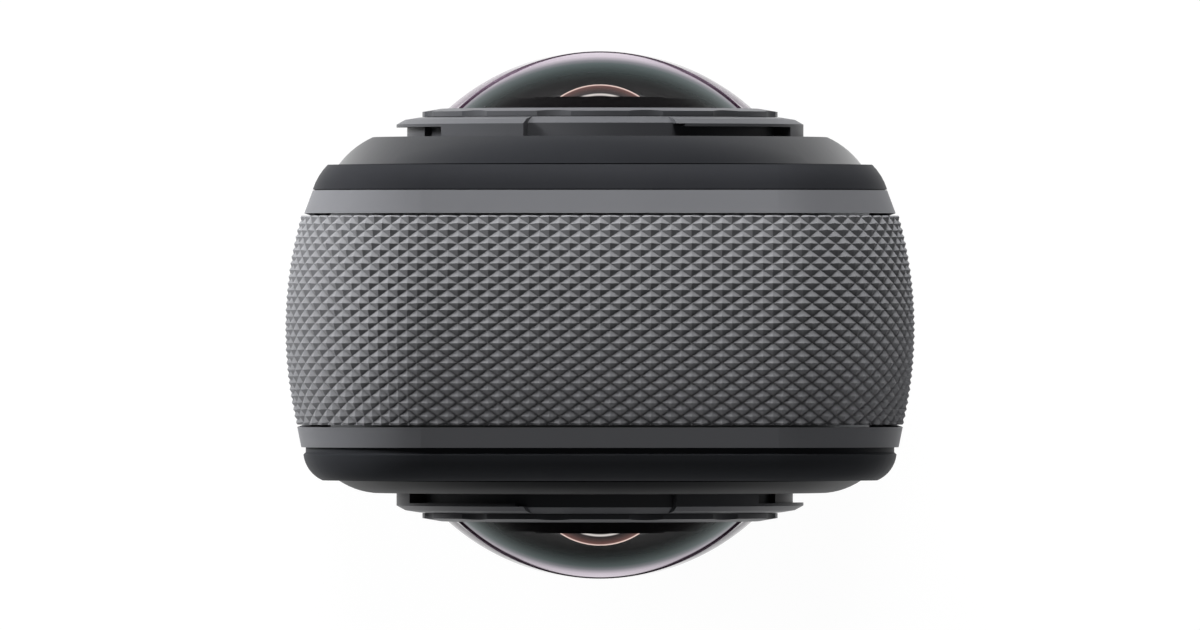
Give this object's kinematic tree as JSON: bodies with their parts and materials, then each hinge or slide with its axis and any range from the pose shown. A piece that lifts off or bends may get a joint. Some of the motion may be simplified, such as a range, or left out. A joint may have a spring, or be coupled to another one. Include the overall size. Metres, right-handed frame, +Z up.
{
  "type": "360 degree camera",
  "caption": "Slim upright pocket camera with a domed fisheye lens front and rear, touchscreen, removable battery, hinged port door and ribbed grip band.",
  "frame": {"origin": "middle of the base, on the surface the camera stands on", "axes": "+Z up along the body, +Y out of the front lens, -Y out of the screen side, +X to the right seen from the screen side"},
  "size_m": [0.046, 0.0388, 0.1245],
  "materials": {
    "grip_rubber": "moulded pyramids, satin",
    "trim_grey": "soft grey, fine grain",
    "shell_dark": "dark grey, fine grain",
    "frame_alloy": "as cast",
    "mount_black": "black anodised",
    "lens_glass": "polished, coated",
    "seal_black": "soft",
    "baffle_black": "flocked black",
    "barrel_black": "black anodised",
    "sensor_chip": "glossy",
    "board_green": "solder mask",
    "plate_metal": "brushed",
    "sheet_steel": "pressed, tinned",
    "screen_glass": "polished",
    "panel_black": "glossy",
    "key_dark": "satin",
    "contact_gold": "gold plated",
    "battery_case": "fine grain",
    "card_black": "fine grain",
    "latch_dark": "satin",
    "guard_steel": "blackened",
    "base_alloy": "black anodised",
    "thread_steel": "machined",
    "screw_steel": "blackened",
    "light_pipe": "clear"
  },
  "bodies": {
    "camera_body": {"mid_frame": "frame_alloy", "grip_band": "grip_rubber", "front_trim_band": "trim_grey", "rear_trim_band": "trim_grey", "front_cover": "shell_dark", "rear_cover": "shell_dark", "front_pedestal": "shell_dark", "rear_pedestal": "shell_dark", "base_plate": "base_alloy", "tripod_insert": "thread_steel", "base_screws": "screw_steel", "heat_plate": "plate_metal", "main_board": "board_green", "shield_can": "sheet_steel", "screen_glass": "screen_glass", "screen_panel": "panel_black", "screen_bracket": "plate_metal", "key_switches": "sheet_steel", "side_switches": "sheet_steel", "usb_port": "sheet_steel", "usb_hinge_pin": "screw_steel", "battery_contacts": "contact_gold", "memory_card": "card_black", "card_socket": "sheet_steel", "speaker": "card_black", "wind_guards": "guard_steel", "microphone_meshes": "sheet_steel", "status_light": "light_pipe", "front_lens_mount": "mount_black", "front_dome_seal": "seal_black", "front_baffle": "baffle_black", "front_inner_lens": "lens_glass", "front_lens_barrel": "barrel_black", "front_rear_glass": "lens_glass", "front_image_sensor": "sensor_chip", "front_sensor_board": "board_green", "rear_lens_mount": "mount_black", "rear_dome_seal": "seal_black", "rear_baffle": "baffle_black", "rear_inner_lens": "lens_glass", "rear_lens_barrel": "barrel_black", "rear_rear_glass": "lens_glass", "rear_image_sensor": "sensor_chip", "rear_sensor_board": "board_green"},
    "front_lens": {"front_lens_ring": "mount_black", "front_dome": "lens_glass"},
    "rear_lens": {"rear_lens_ring": "mount_black", "rear_dome": "lens_glass"},
    "shutter_key": {"shutter_key": "key_dark"},
    "lens_key": {"lens_key": "key_dark"},
    "power_key": {"power_key": "key_dark"},
    "quick_key": {"quick_key": "key_dark"},
    "usb_door": {"usb_door": "grip_rubber", "usb_door_seal": "seal_black"},
    "usb_latch": {"usb_door_latch": "latch_dark"},
    "battery": {"battery_pack": "battery_case", "battery_cover": "grip_rubber", "battery_gasket": "seal_black"},
    "battery_latch": {"battery_latch": "latch_dark"}
  },
  "joints": [
    {"name": "front_lens_twist", "type": "hinge", "parent": "camera_body", "child": "front_lens", "pos_m": [0, 0, 0.1015], "axis": [0, 1, 0], "range_deg": [0, 40]},
    {"name": "rear_lens_twist", "type": "hinge", "parent": "camera_body", "child": "rear_lens", "pos_m": [0, 0, 0.1015], "axis": [0, -1, 0], "range_deg": [0, 40]},
    {"name": "shutter_press", "type": "slide", "parent": "camera_body", "child": "shutter_key", "axis": [0, 1, 0], "range_m": [0, 0.0004], "stiffness_N_per_m": 800, "springref_m": -0.0003},
    {"name": "lens_key_press", "type": "slide", "parent": "camera_body", "child": "lens_key", "axis": [0, 1, 0], "range_m": [0, 0.0004], "stiffness_N_per_m": 800, "springref_m": -0.0003},
    {"name": "power_press", "type": "slide", "parent": "camera_body", "child": "power_key", "axis": [-1, 0, 0], "range_m": [0, 0.0004], "stiffness_N_per_m": 800, "springref_m": -0.0003},
    {"name": "quick_press", "type": "slide", "parent": "camera_body", "child": "quick_key", "axis": [-1, 0, 0], "range_m": [0, 0.0004], "stiffness_N_per_m": 800, "springref_m": -0.0003},
    {"name": "usb_door_hinge", "type": "hinge", "parent": "camera_body", "child": "usb_door", "pos_m": [0.0215, -0.001, 0.0315], "axis": [0, 1, 0], "range_deg": [0, 90]},
    {"name": "usb_latch_slide", "type": "slide", "parent": "usb_door", "child": "usb_latch", "axis": [0, 0, 1], "range_m": [0, 0.00148]},
    {"name": "battery_slide", "type": "slide", "parent": "camera_body", "child": "battery", "axis": [-1, 0, 0], "range_m": [0, 0.036]},
    {"name": "battery_latch_slide", "type": "slide", "parent": "battery", "child": "battery_latch", "axis": [0, 0, 1], "range_m": [0, 0.0024]}
  ]
}
